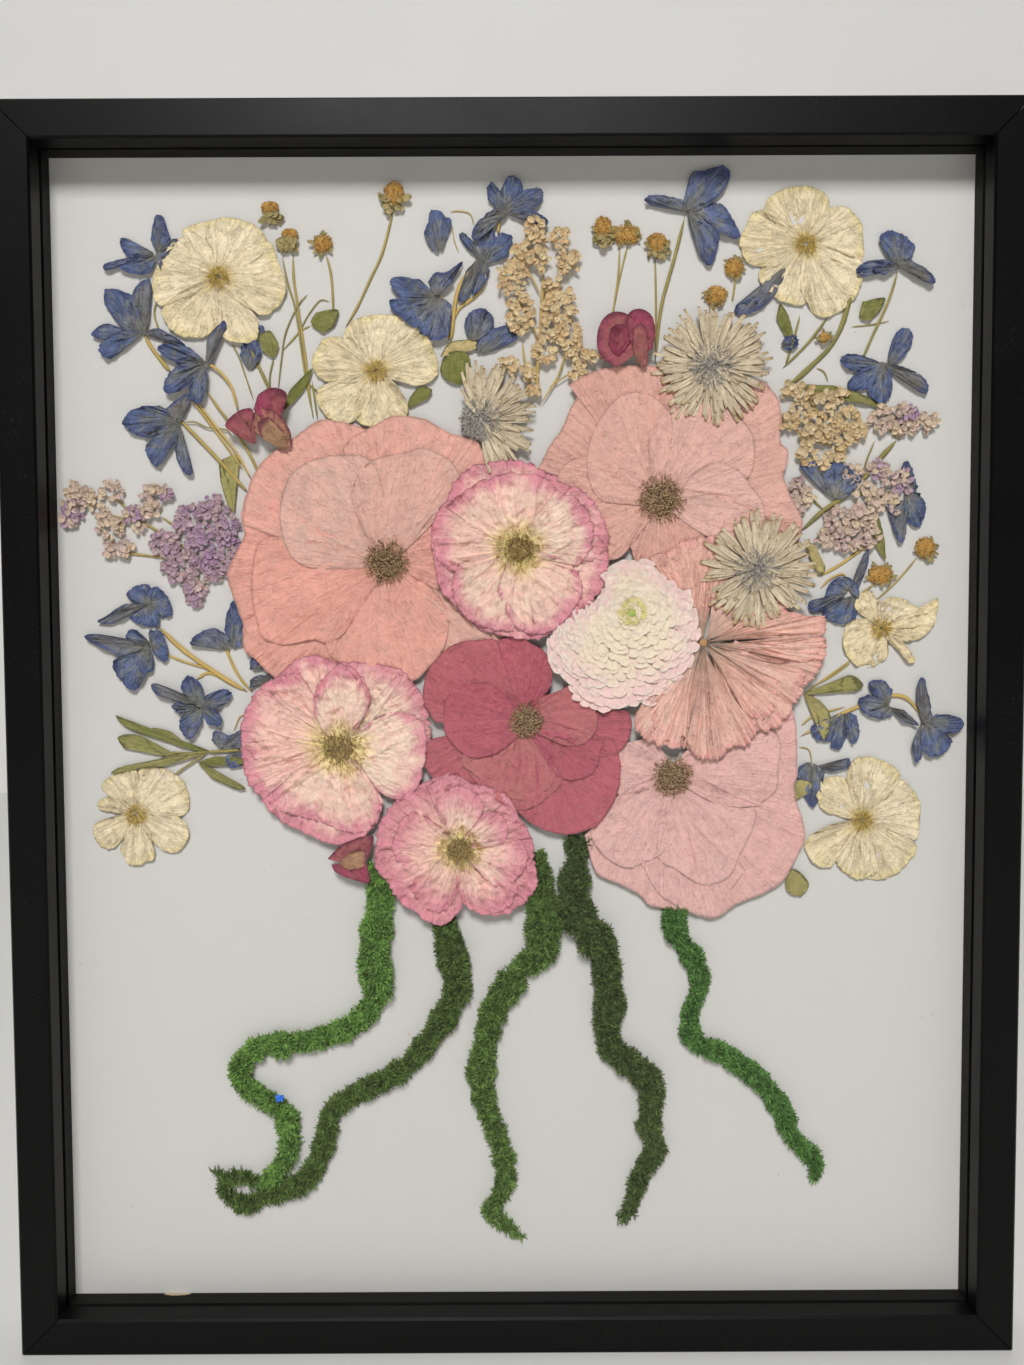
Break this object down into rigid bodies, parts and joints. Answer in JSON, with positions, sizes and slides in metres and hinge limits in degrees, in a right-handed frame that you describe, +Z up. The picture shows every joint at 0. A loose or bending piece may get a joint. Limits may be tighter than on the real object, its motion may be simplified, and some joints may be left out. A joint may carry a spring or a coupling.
{
  "type": "pressed flower frame",
  "caption": "Deep black shadow-box frame that displays a bouquet of pressed blooms, small dried florets and trailing moss strands on a white board behind glass.",
  "frame": {"origin": "bottom centre of the frame's bounding box, on the underside of the bottom rail and midway through its depth", "axes": "+Z up along the long sides, +X to the right as the front is seen, -Y out of the front through the glass, +Y out of the back"},
  "size_m": [0.428, 0.035, 0.53],
  "materials": {
    "black_satin": "satin black paint on a wooden moulding",
    "black_spacer": "matt black spacer",
    "clear_glass": "clear picture glass",
    "white_card": "white paper card",
    "kraft_board": "brown fibreboard",
    "zinc": "zinc-plated steel",
    "coral": "dry coral petals",
    "blush": "dry blush petals",
    "deep_rose": "dry deep rose petals",
    "ruffle_pink": "dry ruffled pink petals",
    "pale_cream": "dry pale cream petals",
    "cream": "dry cream petals",
    "straw": "dry straw-coloured rays",
    "dry_blue": "dry blue petals",
    "maroon": "dry maroon petals",
    "lilac": "dry lilac and beige florets",
    "leaf_green": "dry olive leaves",
    "honey": "dry golden florets and stem",
    "moss": "preserved green moss"
  },
  "bodies": {
    "root": {"rail_bottom": "black_satin", "rail_left": "black_satin", "rail_top": "black_satin", "rail_right": "black_satin", "spacer_left": "black_spacer", "spacer_right": "black_spacer", "spacer_bottom": "black_spacer", "spacer_top": "black_spacer", "glass": "clear_glass", "mount_board": "white_card", "back_board": "kraft_board", "tab_left": "zinc", "tab_right": "zinc", "tab_bottom": "zinc", "tab_top": "zinc", "hanger": "zinc", "poppy_left": "coral", "poppy_right": "blush", "poppy_pale": "blush", "poppy_rose": "deep_rose", "carnation": "coral", "rose_left": "ruffle_pink", "rose_centre": "ruffle_pink", "rose_low": "ruffle_pink", "ranunculus": "pale_cream", "aster_side": "straw", "aster_upper": "straw", "aster_right": "straw", "cream_top_left": "cream", "cream_upper_left": "cream", "cream_top_right": "cream", "cream_low_right": "cream", "cream_low_left": "cream", "cream_crumpled": "cream", "delphinium_corner": "dry_blue", "delphinium_far_left": "dry_blue", "delphinium_left": "dry_blue", "delphinium_bundle": "dry_blue", "delphinium_top": "dry_blue", "delphinium_pair": "dry_blue", "delphinium_top_right": "dry_blue", "delphinium_upper_right": "dry_blue", "delphinium_right": "dry_blue", "delphinium_branch_left": "dry_blue", "delphinium_star": "dry_blue", "delphinium_branch_right": "dry_blue", "chamomile_tall": "honey", "bud_sprig": "leaf_green", "dried_sprig": "honey", "cream_cluster": "cream", "statice_left": "lilac", "statice_right": "lilac", "snapdragon_left": "maroon", "snapdragon_top": "maroon", "snapdragon_low": "maroon", "moss_far_left": "moss", "moss_looped": "moss", "moss_middle": "moss", "moss_right": "moss", "moss_far_right": "moss"}
  },
  "joints": []
}
